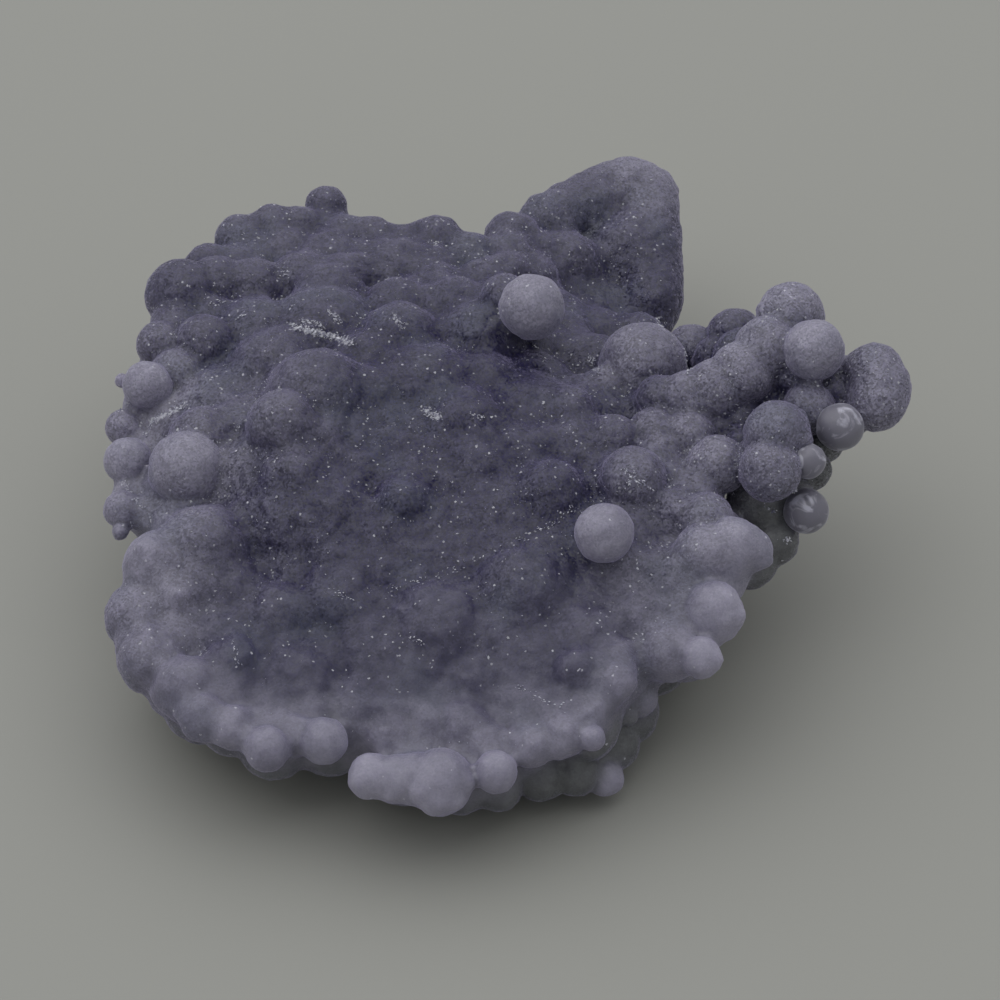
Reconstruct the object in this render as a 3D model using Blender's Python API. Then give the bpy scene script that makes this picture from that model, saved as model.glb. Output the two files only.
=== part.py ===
# Grape agate: a domed plate of violet-grey chalcedony, grown over with fused balls.
# Metres, +Z up. The stone rests on a flat cut in the plane Z = 0, under its middle.
# Its front rim faces -Y, the tongue at its back points to +Y, its branch of berries to +X.
#
# The balls are read off one view of the stone, taken from in front and above. Each has a
# column, a row and a radius in that view's frame, and a height over the cut that says how
# far along its line of sight it lies. The frame is 1000 pixels square.

import math
from collections import namedtuple

import bmesh
import bpy
import numpy as np
from mathutils import Matrix, Vector

MM = 0.001

# Driving dimensions of the stone
STONE_WIDTH = 60.0 * MM
RIM_THICKNESS = 1.2 * MM
UNDERSIDE_SLOPE = 0.72
FOOT_CENTRE = Vector((-2.0, -2.5, 0.0)) * MM
FOOT_HALF_WIDTH = 16.0 * MM
FOOT_HALF_DEPTH = 22.0 * MM
FOOT_WAVES = 0.16
FOOT_BLEND = 0.35
FOOT_DEPTH = 1.9 * MM

# The view that the balls are read from
VIEW_DISTANCE = 375.0 * MM
VIEW_ELEVATION = math.radians(40.0)
VIEW_AIM = Vector((-0.3, -10.2, 15.0)) * MM
FRAME_MIDDLE = 500.0
LEFT_COLUMN = 105.0
RIGHT_COLUMN = 906.0
PIXEL = STONE_WIDTH / (RIGHT_COLUMN - LEFT_COLUMN)
FIELD_COLUMNS = (110, 770)
FIELD_ROWS = (165, 810)

# The solid core under the berries
CORE_RADIUS = 3.8 * MM
CORE_STEP_COLUMNS = 30
CORE_STEP_ROWS = 20
CORE_SHIFT_COLUMNS = 8.0
CORE_SHIFT_ROWS = 6.0
CORE_SHRINK = 0.06
CORE_STACK_STEP = 2.4 * MM
CORE_INSET = 2.0 * MM
CORE_SINK = 0.5 * MM
CORE_RIM_SINK = 0.6 * MM
CORE_RIM_REACH = 3.0 * MM
LEVEL_REACH = 40.0
PLATE_MIDDLE_HEIGHT = 14.0 * MM

# How balls stand on what they grew from
DOME_LIFT = 0.8
ROOT_BEHIND = 0.8
ROOT_RADIUS = 0.75

# The low domes between the berries that were read, and the lumps underneath
RIM_ZONE = 6.0 * MM
DOME_COUNT = 190
RIM_DOME_RADIUS = (1.7 * MM, 2.5 * MM)
RIM_DOME_RISE = (0.9 * MM, 1.9 * MM)
MIDDLE_DOME_RADIUS = (2.8 * MM, 5.2 * MM)
MIDDLE_DOME_RISE = (0.15 * MM, 0.5 * MM)
DOME_CLEARANCE = 0.54
DOME_INSET = 1.0
FOOT_LUMP_COUNT = 44
FOOT_LUMP_RADIUS = (2.0 * MM, 3.8 * MM)
FOOT_LUMP_SHARE = (0.08, 0.60)
FOOT_LUMP_REACH = (0.74, 0.92)
FOOT_LUMP_FLARE = 0.22
FOOT_LUMP_ROOF = 0.3
FOOT_LUMP_SHIFT = 0.3
LUMP_COUNT = 260
LUMP_RADIUS = (1.5 * MM, 3.2 * MM)
LUMP_SPACING = 2.3 * MM
LUMP_MARGIN = 3.6 * MM
LUMP_LIFT = 0.35
TRIES = 60
SEED = 7

# The mesh
VOXEL = 0.5 * MM
TRIANGLES = 9400
BALL_SUBDIVISIONS = 3
CUTTER_SIDE = 200.0 * MM

VIOLET_GREY = (0.13, 0.12, 0.16, 1.0)
DRUSY_ROUGHNESS = 0.55

Level = namedtuple("Level", "column row height_mm")
Spot = namedtuple("Spot", "column row")
Dome = namedtuple("Dome", "column row radius proud")
Berry = namedtuple("Berry", "column row radius height_mm")
Ball = namedtuple("Ball", "centre radius")

# How high the plate's upper face lies over the cut
PLATE_LEVELS = [
    # front rim
    Level(175, 705, 8.5), Level(265, 745, 7.5), Level(325, 740, 7.5), Level(372, 775, 6.5),
    Level(440, 780, 6.5), Level(496, 770, 7.0), Level(560, 735, 8.0), Level(640, 690, 9.5),
    # right rim
    Level(700, 655, 10.5), Level(715, 605, 12.0), Level(735, 550, 14.0), Level(705, 515, 15.0),
    Level(705, 450, 15.0),
    # left rim
    Level(110, 620, 9.5), Level(125, 510, 11.0), Level(125, 460, 12.5), Level(130, 385, 14.0),
    Level(160, 330, 15.5), Level(170, 285, 16.0), Level(205, 250, 15.0),
    # middle
    Level(200, 560, 13.0), Level(190, 470, 15.0), Level(285, 425, 17.5), Level(320, 380, 18.5),
    Level(400, 500, 16.0), Level(400, 600, 13.0), Level(330, 680, 10.5), Level(470, 680, 10.5),
    Level(500, 600, 13.5), Level(550, 500, 16.5), Level(600, 600, 13.0), Level(610, 660, 11.5),
    Level(260, 600, 12.5), Level(240, 680, 10.0),
    # crest
    Level(330, 330, 18.5), Level(400, 340, 19.0), Level(480, 330, 19.0), Level(450, 400, 18.5),
    Level(550, 400, 17.5), Level(250, 330, 17.5),
    # behind the crest
    Level(250, 240, 15.0), Level(326, 215, 14.5), Level(400, 235, 14.5), Level(436, 245, 14.5),
    Level(300, 280, 17.0), Level(400, 285, 17.5), Level(480, 270, 16.5),
    # valley and tongue
    Level(590, 345, 12.0), Level(570, 300, 14.0), Level(625, 320, 11.5), Level(665, 310, 11.0),
    Level(670, 220, 13.5), Level(627, 165, 13.5), Level(560, 210, 14.0), Level(500, 240, 14.5),
    Level(610, 250, 13.5),
    # root of the branch
    Level(603, 395, 15.0), Level(560, 410, 17.5), Level(635, 480, 16.5), Level(604, 540, 15.0),
    Level(668, 430, 15.8), Level(700, 400, 14.6),
]

# The plate's outline, without the branch of berries at the right
PLATE_OUTLINE = [
    Spot(146, 292), Spot(180, 264), Spot(205, 243), Spot(245, 214), Spot(290, 204), Spot(326, 190),
    Spot(356, 217), Spot(400, 224), Spot(436, 215), Spot(474, 232), Spot(518, 208), Spot(560, 190),
    Spot(600, 168), Spot(627, 156), Spot(662, 168), Spot(676, 200), Spot(682, 300), Spot(690, 345),
    Spot(712, 400), Spot(735, 470), Spot(760, 530), Spot(762, 565), Spot(742, 600), Spot(735, 635),
    Spot(710, 672), Spot(665, 680), Spot(620, 722), Spot(590, 748), Spot(545, 762), Spot(500, 790),
    Spot(442, 812), Spot(372, 797), Spot(352, 760), Spot(325, 762), Spot(267, 768), Spot(180, 735),
    Spot(118, 685), Spot(105, 640), Spot(112, 590), Spot(140, 545), Spot(106, 515), Spot(106, 455),
    Spot(115, 420), Spot(122, 384), Spot(140, 345),
]

# Domes and balls that stand on the plate; proud is the share of the diameter that shows
LEFT_DOMES = [
    Dome(182, 296, 37, 0.58), Dome(217, 291, 35, 0.46), Dome(252, 291, 34, 0.36),
    Dome(160, 345, 24, 0.66), Dome(205, 345, 31, 0.50), Dome(166, 347, 19, 0.74),
    Dome(179, 378, 31, 0.60), Dome(147, 386, 26, 0.70), Dome(122, 381, 8, 0.90),
    Dome(124, 428, 19, 0.66), Dome(128, 461, 24, 0.88), Dome(122, 510, 19, 0.74),
    Dome(120, 532, 9, 0.60), Dome(203, 441, 35, 0.58), Dome(187, 470, 39, 0.70),
    Dome(283, 427, 38, 0.44), Dome(318, 404, 56, 0.26), Dome(204, 553, 49, 0.34),
    Dome(158, 566, 37, 0.54), Dome(138, 618, 35, 0.50), Dome(150, 658, 35, 0.48),
    Dome(188, 690, 35, 0.46), Dome(202, 717, 26, 0.50),
]
FRONT_DOMES = [
    Dome(232, 728, 24, 0.52), Dome(267, 749, 24, 0.66), Dome(324, 741, 25, 0.70),
    Dome(296, 735, 22, 0.50), Dome(372, 776, 24, 0.60), Dome(394, 779, 25, 0.54),
    Dome(415, 779, 27, 0.54), Dome(440, 782, 34, 0.58), Dome(496, 772, 22, 0.74),
    Dome(530, 745, 24, 0.50), Dome(562, 733, 26, 0.50), Dome(592, 738, 14, 0.50),
    Dome(430, 730, 44, 0.26), Dome(520, 715, 40, 0.26), Dome(300, 690, 52, 0.18),
    Dome(235, 665, 30, 0.34), Dome(360, 715, 38, 0.24),
]
RIGHT_DOMES = [
    Dome(704, 553, 31, 0.60), Dome(733, 548, 31, 0.66), Dome(752, 550, 22, 0.66),
    Dome(714, 612, 31, 0.60), Dome(701, 658, 21, 0.64), Dome(668, 650, 34, 0.38),
    Dome(705, 522, 30, 0.50), Dome(604, 533, 30, 1.00), Dome(633, 480, 34, 0.56),
    Dome(717, 465, 30, 0.66), Dome(688, 438, 30, 0.60), Dome(655, 437, 30, 0.50),
    Dome(612, 441, 27, 0.46), Dome(569, 415, 30, 0.38), Dome(638, 620, 44, 0.24),
    Dome(628, 575, 36, 0.20), Dome(672, 585, 38, 0.30),
]
MIDDLE_DOMES = [
    Dome(404, 503, 27, 0.26), Dome(550, 500, 42, 0.18), Dome(505, 296, 24, 0.50),
    Dome(440, 640, 62, 0.14), Dome(525, 600, 62, 0.14), Dome(585, 640, 40, 0.18),
    Dome(270, 520, 44, 0.14), Dome(340, 610, 50, 0.14), Dome(480, 345, 46, 0.14),
    Dome(400, 345, 44, 0.16), Dome(330, 300, 38, 0.16),
]
BACK_DOMES = [
    Dome(208, 268, 25, 0.50), Dome(240, 241, 27, 0.50), Dome(273, 231, 28, 0.50),
    Dome(300, 231, 26, 0.48), Dome(326, 207, 21, 0.80), Dome(346, 240, 26, 0.46),
    Dome(371, 242, 27, 0.50), Dome(405, 248, 25, 0.44), Dome(436, 244, 30, 0.52),
    Dome(470, 258, 27, 0.42), Dome(512, 240, 30, 0.42), Dome(548, 222, 32, 0.42),
    Dome(590, 203, 34, 0.44), Dome(630, 188, 34, 0.46), Dome(650, 194, 30, 0.42),
    Dome(628, 256, 42, 0.22), Dome(648, 242, 36, 0.22), Dome(652, 292, 34, 0.20),
    Dome(565, 265, 36, 0.22),
]

# Berries with a height of their own
BRANCH_BERRIES = [
    Berry(532, 307, 33, 21.0), Berry(505, 300, 26, 19.0),
    # the arm and its tip
    Berry(660, 398, 24, 17.0), Berry(688, 399, 29, 17.2), Berry(716, 391, 33, 17.6),
    Berry(742, 374, 33, 18.6), Berry(768, 349, 34, 19.6), Berry(791, 316, 34, 20.4),
    Berry(814, 350, 31, 21.0), Berry(800, 372, 30, 18.2),
    # the outermost cluster
    Berry(874, 374, 32, 18.2), Berry(877, 402, 31, 17.4), Berry(848, 384, 29, 16.8),
    Berry(826, 396, 27, 16.6), Berry(840, 427, 24, 17.2), Berry(809, 409, 27, 17.2),
    Berry(777, 434, 34, 18.0), Berry(770, 470, 32, 16.8), Berry(808, 461, 18, 17.0),
    Berry(806, 511, 23, 12.6),
    # behind and below the arm
    Berry(735, 337, 29, 16.4), Berry(742, 358, 30, 17.0), Berry(720, 362, 28, 15.4),
    Berry(692, 352, 28, 14.6), Berry(643, 366, 44, 16.2), Berry(606, 390, 25, 15.6),
    Berry(765, 400, 32, 15.8),
    Berry(738, 420, 30, 15.4), Berry(715, 430, 30, 15.0), Berry(745, 452, 32, 14.4),
]
UNDERSIDE_BERRIES = [
    Berry(774, 541, 25, 10.0), Berry(790, 500, 26, 12.0), Berry(760, 500, 34, 12.0),
    Berry(748, 560, 30, 9.0), Berry(810, 470, 22, 13.0), Berry(820, 440, 24, 13.6),
    Berry(852, 412, 24, 14.4), Berry(638, 696, 21, 6.4), Berry(628, 716, 10, 6.0),
    Berry(576, 772, 25, 3.2), Berry(605, 778, 19, 2.4), Berry(612, 744, 28, 3.2),
    Berry(588, 752, 34, 2.8), Berry(575, 730, 40, 3.0), Berry(625, 712, 34, 4.0),
    Berry(498, 786, 26, 3.6), Berry(540, 774, 28, 3.2), Berry(520, 750, 40, 3.4),
    Berry(655, 664, 32, 6.0), Berry(460, 790, 26, 3.4), Berry(690, 620, 40, 7.0),
]


def view_axes():
    """Right, up and forward of the view, as unit vectors."""
    right = Vector((1.0, 0.0, 0.0))
    up = Vector((0.0, math.sin(VIEW_ELEVATION), math.cos(VIEW_ELEVATION)))
    forward = Vector((0.0, math.cos(VIEW_ELEVATION), -math.sin(VIEW_ELEVATION)))
    return right, up, forward


RIGHT, UP, FORWARD = view_axes()
EYE = VIEW_AIM - FORWARD * VIEW_DISTANCE
SLOPE = PIXEL / VIEW_DISTANCE


def seen(column, row, height):
    """The point at a height over the cut that shows at a column and row of the view."""
    ray = FORWARD + RIGHT * ((column - FRAME_MIDDLE) * SLOPE) + UP * ((FRAME_MIDDLE - row) * SLOPE)
    return EYE + ray * ((height - EYE.z) / ray.z)


def real_size(pixels, point):
    """What a length in pixels measures at a point's distance from the eye."""
    return pixels * SLOPE * (point - EYE).dot(FORWARD)


def plate_height(column, row):
    """Height of the plate's upper face where it shows at a column and row."""
    total = 0.0
    weights = 1e-12
    for level in PLATE_LEVELS:
        away = (level.column - column) ** 2 + (level.row - row) ** 2
        weight = math.exp(-away / (2.0 * LEVEL_REACH ** 2))
        total += weight * level.height_mm * MM
        weights += weight
    return total / weights


def plate_over(across, deep):
    """Height of the plate's upper face over a point of the floor."""
    height = PLATE_MIDDLE_HEIGHT
    for _ in range(6):
        offset = Vector((across, deep, height)) - EYE
        scale = SLOPE * offset.dot(FORWARD)
        column = FRAME_MIDDLE + offset.dot(RIGHT) / scale
        row = FRAME_MIDDLE - offset.dot(UP) / scale
        height = 0.5 * (height + plate_height(column, row))
    return height


def outline_margin(column, row):
    """Distance in pixels from the plate's outline, below zero outside it."""
    nearest = 1e9
    inside = False
    for start, end in zip(PLATE_OUTLINE, PLATE_OUTLINE[1:] + PLATE_OUTLINE[:1]):
        along_c = end.column - start.column
        along_r = end.row - start.row
        share = (column - start.column) * along_c + (row - start.row) * along_r
        share = min(max(share / (along_c ** 2 + along_r ** 2), 0.0), 1.0)
        gap_c = column - start.column - share * along_c
        gap_r = row - start.row - share * along_r
        nearest = min(nearest, math.hypot(gap_c, gap_r))
        if (start.row > row) != (end.row > row):
            crossing = start.column + (row - start.row) * along_c / along_r
            if column < crossing:
                inside = not inside
    return nearest if inside else -nearest


def foot_share(point):
    """1 over the middle of the foot, 0 outside it, with a smooth step between."""
    across = (point.x - FOOT_CENTRE.x) / FOOT_HALF_WIDTH
    deep = (point.y - FOOT_CENTRE.y) / FOOT_HALF_DEPTH
    turn = math.atan2(deep, across)
    reach = 1.0 + FOOT_WAVES * (math.sin(3.0 * turn + 1.0) + 0.6 * math.sin(5.0 * turn))
    inward = min(max((1.0 - math.hypot(across, deep) / reach) / FOOT_BLEND, 0.0), 1.0)
    return inward * inward * (3.0 - 2.0 * inward)


def plate_thickness(margin):
    """The plate is a lens: thin at its rim and thicker inward."""
    return RIM_THICKNESS + UNDERSIDE_SLOPE * margin


def underside_height(point, margin):
    """Height of the stone's lower face below a point of its upper face."""
    share = foot_share(point)
    return (point.z - plate_thickness(margin)) * (1.0 - share) - FOOT_DEPTH * share


def core_balls(random):
    """Stacks of large balls that fill the plate and its foot."""
    balls = []
    for row in range(*FIELD_ROWS, CORE_STEP_ROWS):
        for column in range(*FIELD_COLUMNS, CORE_STEP_COLUMNS):
            shift_c, shift_r, shrink = random.uniform(-1.0, 1.0, 3)
            column_here = column + shift_c * CORE_SHIFT_COLUMNS
            row_here = row + shift_r * CORE_SHIFT_ROWS
            margin = outline_margin(column_here, row_here) * PIXEL
            if margin < CORE_INSET:
                continue
            radius = min(CORE_RADIUS, plate_thickness(margin) / 2.0) * (1.0 - CORE_SHRINK * shrink)
            sink = CORE_SINK + CORE_RIM_SINK * math.exp(-margin / CORE_RIM_REACH)
            top = seen(column_here, row_here, plate_height(column_here, row_here) - sink)
            low = min(underside_height(top, margin) + radius, top.z - radius)
            steps = max(int(math.ceil((top.z - radius - low) / CORE_STACK_STEP)), 0)
            for step in range(steps + 1):
                share = step / steps if steps else 0.0
                height = (top.z - radius) * (1.0 - share) + low * share
                balls.append(Ball(Vector((top.x, top.y, height)), radius))
    return balls


def dome_ball(dome):
    """A ball standing on the plate, with the share of it that shows."""
    height = plate_height(dome.column, dome.row)
    near = seen(dome.column, dome.row, height)
    radius = real_size(dome.radius, near)
    lift = (2.0 * dome.proud - 1.0) * radius * DOME_LIFT
    return Ball(seen(dome.column, dome.row, height + lift), radius)


def berry_ball(berry):
    """A ball at its own height."""
    centre = seen(berry.column, berry.row, berry.height_mm * MM)
    return Ball(centre, real_size(berry.radius, centre))


def root_ball(ball):
    """The stub that joins a berry to what it grew from, hidden behind and below it."""
    return Ball(ball.centre + FORWARD * ball.radius * ROOT_BEHIND, ball.radius * ROOT_RADIUS)


def clear_of(ball, other):
    """Whether two balls are far enough apart for both to show."""
    apart = (ball.centre - other.centre).length
    return apart > DOME_CLEARANCE * (ball.radius + other.radius)


def seeded_domes(random, taken):
    """Low domes that cover the plate between the ones that were read."""
    balls = []
    tries = 0
    while len(balls) < DOME_COUNT and tries < DOME_COUNT * TRIES:
        tries += 1
        column = random.uniform(*FIELD_COLUMNS)
        row = random.uniform(*FIELD_ROWS)
        margin = outline_margin(column, row) * PIXEL
        inner = min(max(margin / RIM_ZONE, 0.0), 1.0) > random.uniform()
        radius = random.uniform(*(MIDDLE_DOME_RADIUS if inner else RIM_DOME_RADIUS))
        rise = random.uniform(*(MIDDLE_DOME_RISE if inner else RIM_DOME_RISE))
        if margin < radius * DOME_INSET:
            continue
        ball = dome_ball(Dome(column, row, radius / PIXEL, rise / (2.0 * radius)))
        if all(clear_of(ball, other) for other in taken + balls):
            balls.append(ball)
    return balls


def seeded_lumps(random):
    """Lumps of the older growth all over the underside, down to the cut."""
    balls = []
    tries = 0
    while len(balls) < LUMP_COUNT and tries < LUMP_COUNT * TRIES:
        tries += 1
        column = random.uniform(*FIELD_COLUMNS)
        row = random.uniform(*FIELD_ROWS)
        radius = random.uniform(*LUMP_RADIUS)
        margin = outline_margin(column, row) * PIXEL
        if margin < LUMP_MARGIN:
            continue
        top = seen(column, row, plate_height(column, row))
        height = max(underside_height(top, margin), 0.0) + LUMP_LIFT * radius
        centre = Vector((top.x, top.y, min(height, top.z - radius - CORE_SINK)))
        near = min(((centre - other.centre).length for other in balls), default=1.0)
        if near > LUMP_SPACING:
            balls.append(Ball(centre, radius))
    return balls


def foot_lumps(random):
    """Lumps around the foot's side, so that it is lobed like the rest."""
    balls = []
    for number in range(FOOT_LUMP_COUNT):
        shift = random.uniform(-FOOT_LUMP_SHIFT, FOOT_LUMP_SHIFT)
        turn = 2.0 * math.pi * (number + shift) / FOOT_LUMP_COUNT
        share = random.uniform(*FOOT_LUMP_SHARE)
        reach = random.uniform(*FOOT_LUMP_REACH) + FOOT_LUMP_FLARE * share
        across = FOOT_CENTRE.x + FOOT_HALF_WIDTH * reach * math.cos(turn)
        deep = FOOT_CENTRE.y + FOOT_HALF_DEPTH * reach * math.sin(turn)
        roof = plate_over(across, deep)
        radius = min(random.uniform(*FOOT_LUMP_RADIUS), roof * FOOT_LUMP_ROOF)
        balls.append(Ball(Vector((across, deep, roof * share)), radius))
    return balls


def all_balls():
    """Every ball of the stone, in one list."""
    random = np.random.RandomState(SEED)
    domes = LEFT_DOMES + FRONT_DOMES + RIGHT_DOMES + MIDDLE_DOMES + BACK_DOMES
    standing = [dome_ball(dome) for dome in domes]
    berries = [berry_ball(berry) for berry in BRANCH_BERRIES]
    under = [berry_ball(berry) for berry in UNDERSIDE_BERRIES]
    roots = [root_ball(ball) for ball in standing + berries + under]
    core = core_balls(random)
    covering = seeded_domes(random, standing + berries)
    lumps = seeded_lumps(random) + foot_lumps(random)
    return standing + berries + roots + under + core + covering + lumps


def ball_mesh(balls):
    """One mesh with a closed sphere for each ball, still separate."""
    pattern = bmesh.new()
    bmesh.ops.create_icosphere(pattern, subdivisions=BALL_SUBDIVISIONS, radius=1.0)
    unit = np.array([vertex.co for vertex in pattern.verts])
    corners = np.array([[vertex.index for vertex in face.verts] for face in pattern.faces])
    pattern.free()
    points = [unit * ball.radius + np.array(ball.centre) for ball in balls]
    faces = [corners + len(unit) * number for number in range(len(balls))]
    mesh = bpy.data.meshes.new("balls")
    mesh.from_pydata(np.concatenate(points).tolist(), [], np.concatenate(faces).tolist())
    return mesh


def evaluated_mesh(stone):
    """A copy of an object's mesh with its modifiers applied."""
    graph = bpy.context.evaluated_depsgraph_get()
    return bpy.data.meshes.new_from_object(stone.evaluated_get(graph), depsgraph=graph)


def keep_outer_skin(mesh):
    """Delete every shell but the largest, so that no pocket is left inside."""
    shape = bmesh.new()
    shape.from_mesh(mesh)
    unseen = set(shape.verts)
    shells = []
    while unseen:
        front = [unseen.pop()]
        shell = list(front)
        while front:
            vertex = front.pop()
            for edge in vertex.link_edges:
                other = edge.other_vert(vertex)
                if other in unseen:
                    unseen.remove(other)
                    front.append(other)
                    shell.append(other)
        shells.append(shell)
    shells.sort(key=len, reverse=True)
    for shell in shells[1:]:
        bmesh.ops.delete(shape, geom=shell, context="VERTS")
    shape.to_mesh(mesh)
    shape.free()


def chalcedony():
    """Violet-grey chalcedony under a skin of fine quartz."""
    material = bpy.data.materials.new("chalcedony")
    material.use_nodes = True
    shader = material.node_tree.nodes["Principled BSDF"]
    shader.inputs["Base Color"].default_value = VIOLET_GREY
    shader.inputs["Roughness"].default_value = DRUSY_ROUGHNESS
    shader.inputs["Metallic"].default_value = 0.0
    return material


def foot_cutter():
    """A block under the plane Z = 0, which cuts the flat face that the stone rests on."""
    mesh = bpy.data.meshes.new("foot_cutter")
    shape = bmesh.new()
    below = Matrix.Translation((0.0, 0.0, -CUTTER_SIDE / 2.0))
    bmesh.ops.create_cube(shape, size=CUTTER_SIDE, matrix=below)
    shape.to_mesh(mesh)
    shape.free()
    cutter = bpy.data.objects.new("foot_cutter", mesh)
    cutter.hide_render = True
    cutter.display_type = "WIRE"
    bpy.context.scene.collection.objects.link(cutter)
    return cutter


def grape_agate():
    """The whole stone, as one object."""
    stone = bpy.data.objects.new("grape_agate", ball_mesh(all_balls()))
    bpy.context.scene.collection.objects.link(stone)
    fuse = stone.modifiers.new("fuse", "REMESH")
    fuse.mode = "VOXEL"
    fuse.voxel_size = VOXEL
    stone.data = evaluated_mesh(stone)
    stone.modifiers.clear()
    keep_outer_skin(stone.data)
    thin = stone.modifiers.new("thin", "DECIMATE")
    thin.ratio = TRIANGLES / (2.0 * len(stone.data.polygons))
    cut = stone.modifiers.new("cut", "BOOLEAN")
    cut.operation = "DIFFERENCE"
    cut.solver = "EXACT"
    cut.object = foot_cutter()
    stone.data.shade_smooth()
    stone.data.materials.append(chalcedony())
    return stone


def main():
    for old in list(bpy.data.objects):
        bpy.data.objects.remove(old)
    grape_agate()


main()
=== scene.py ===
import math
import time
from collections import namedtuple

import bmesh
import bpy
import numpy as np
from mathutils import Matrix, Vector, noise


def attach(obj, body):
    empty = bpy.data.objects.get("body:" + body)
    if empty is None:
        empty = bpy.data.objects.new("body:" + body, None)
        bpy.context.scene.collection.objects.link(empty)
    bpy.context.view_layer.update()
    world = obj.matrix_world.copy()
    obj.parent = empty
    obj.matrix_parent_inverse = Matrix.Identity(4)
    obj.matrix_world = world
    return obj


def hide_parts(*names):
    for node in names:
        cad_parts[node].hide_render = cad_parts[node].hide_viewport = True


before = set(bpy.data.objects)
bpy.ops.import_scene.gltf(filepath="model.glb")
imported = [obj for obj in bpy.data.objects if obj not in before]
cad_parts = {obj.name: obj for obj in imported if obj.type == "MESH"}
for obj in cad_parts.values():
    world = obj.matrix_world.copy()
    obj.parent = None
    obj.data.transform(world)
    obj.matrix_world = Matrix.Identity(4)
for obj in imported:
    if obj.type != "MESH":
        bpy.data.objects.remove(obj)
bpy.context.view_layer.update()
began = time.time()
mm = 0.001

# Grape agate. The balls are read off one view of the stone, taken from in front and above,
# in a frame 1000 pixels square: a column, a row, a radius, and how high they lie.
Level = namedtuple("Level", "column row heightMm")
Spot = namedtuple("Spot", "column row")
Dome = namedtuple("Dome", "column row radius proud")
Berry = namedtuple("Berry", "column row radius heightMm")
Ball = namedtuple("Ball", "centre radius kind")
Paint = namedtuple("Paint", "column row reach pale")

# How high the plate's upper face lies over the cut
plateLevels = [Level(*values) for values in (
    # front rim
    (175, 705, 8.5), (265, 745, 7.5), (325, 740, 7.5), (372, 775, 6.5), (440, 780, 6.5),
    (496, 770, 7.0), (560, 735, 8.0), (640, 690, 9.5),
    # right rim
    (700, 655, 10.5), (715, 605, 12.0), (735, 550, 14.0), (705, 515, 15.0), (705, 450, 15.0),
    # left rim
    (110, 620, 9.5), (125, 510, 11.0), (125, 460, 12.5), (130, 385, 14.0), (160, 330, 15.5),
    (170, 285, 16.0), (205, 250, 15.0),
    # middle
    (200, 560, 13.0), (190, 470, 15.0), (285, 425, 17.5), (320, 380, 18.5), (400, 500, 16.0),
    (400, 600, 13.0), (330, 680, 10.5), (470, 680, 10.5), (500, 600, 13.5), (550, 500, 16.5),
    (600, 600, 13.0), (610, 660, 11.5), (260, 600, 12.5), (240, 680, 10.0),
    # crest
    (330, 330, 18.5), (400, 340, 19.0), (480, 330, 19.0), (450, 400, 18.5), (550, 400, 17.5),
    (250, 330, 17.5),
    # behind the crest
    (250, 240, 15.0), (326, 215, 14.5), (400, 235, 14.5), (436, 245, 14.5), (300, 280, 17.0),
    (400, 285, 17.5), (480, 270, 16.5),
    # valley and tongue
    (590, 345, 12.0), (570, 300, 14.0), (625, 320, 11.5), (665, 310, 11.0), (670, 220, 13.5),
    (627, 165, 13.5), (560, 210, 14.0), (500, 240, 14.5), (610, 250, 13.5),
    # root of the branch
    (603, 395, 15.0), (560, 410, 17.5), (635, 480, 16.5), (604, 540, 15.0), (668, 430, 15.8),
    (700, 400, 14.6),
)]

# The plate's outline, without the branch of berries at the right
plateOutline = [Spot(*values) for values in (
    (146, 292), (180, 264), (205, 243), (245, 214), (290, 204), (326, 190), (356, 217),
    (400, 224), (436, 215), (474, 232), (518, 208), (560, 190), (600, 168), (627, 156),
    (662, 168), (676, 200), (682, 300), (690, 345), (712, 400), (735, 470), (760, 530),
    (762, 565), (742, 600), (735, 635), (710, 672), (665, 680), (620, 722), (590, 748),
    (545, 762), (500, 790), (442, 812), (372, 797), (352, 760), (325, 762), (267, 768),
    (180, 735), (118, 685), (105, 640), (112, 590), (140, 545), (106, 515), (106, 455),
    (115, 420), (122, 384), (140, 345),
)]

# Domes and balls that stand on the plate; proud is the share of the diameter that shows
leftDomes = [Dome(*values) for values in (
    (182, 296, 37, 0.58), (217, 291, 35, 0.46), (252, 291, 34, 0.36), (160, 345, 24, 0.66),
    (205, 345, 31, 0.50), (166, 347, 19, 0.74), (179, 378, 31, 0.50), (147, 386, 25, 1.10),
    (122, 381, 8, 0.90), (124, 428, 19, 0.66), (128, 461, 24, 0.88), (122, 510, 19, 0.74),
    (120, 532, 9, 0.60), (203, 441, 35, 0.58), (187, 470, 39, 0.70), (283, 427, 38, 0.44),
    (318, 404, 56, 0.26), (204, 553, 49, 0.34), (158, 566, 37, 0.54), (138, 618, 35, 0.50),
    (150, 658, 35, 0.48), (188, 690, 35, 0.46), (202, 717, 26, 0.50),
)]
frontDomes = [Dome(*values) for values in (
    (232, 728, 24, 0.52), (267, 749, 24, 0.66), (324, 741, 25, 0.70), (296, 735, 22, 0.50),
    (372, 776, 24, 0.60), (394, 779, 25, 0.54), (415, 779, 27, 0.54), (440, 782, 34, 0.58),
    (496, 772, 22, 0.74), (530, 745, 24, 0.50), (562, 733, 26, 0.50), (592, 738, 14, 0.50),
    (430, 730, 44, 0.26), (520, 715, 40, 0.26), (300, 690, 52, 0.18), (235, 665, 30, 0.34),
    (360, 715, 38, 0.24),
)]
rightDomes = [Dome(*values) for values in (
    (704, 553, 31, 0.60), (733, 548, 31, 0.66), (752, 550, 22, 0.66), (714, 612, 31, 0.60),
    (701, 658, 21, 0.64), (668, 650, 34, 0.38), (705, 522, 30, 0.50), (604, 533, 30, 1.00),
    (633, 480, 34, 0.56), (717, 465, 30, 0.66), (688, 438, 30, 0.60), (655, 437, 30, 0.50),
    (612, 441, 27, 0.46), (569, 415, 30, 0.38), (638, 620, 44, 0.24), (628, 575, 36, 0.20),
    (672, 585, 38, 0.30),
)]
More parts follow.
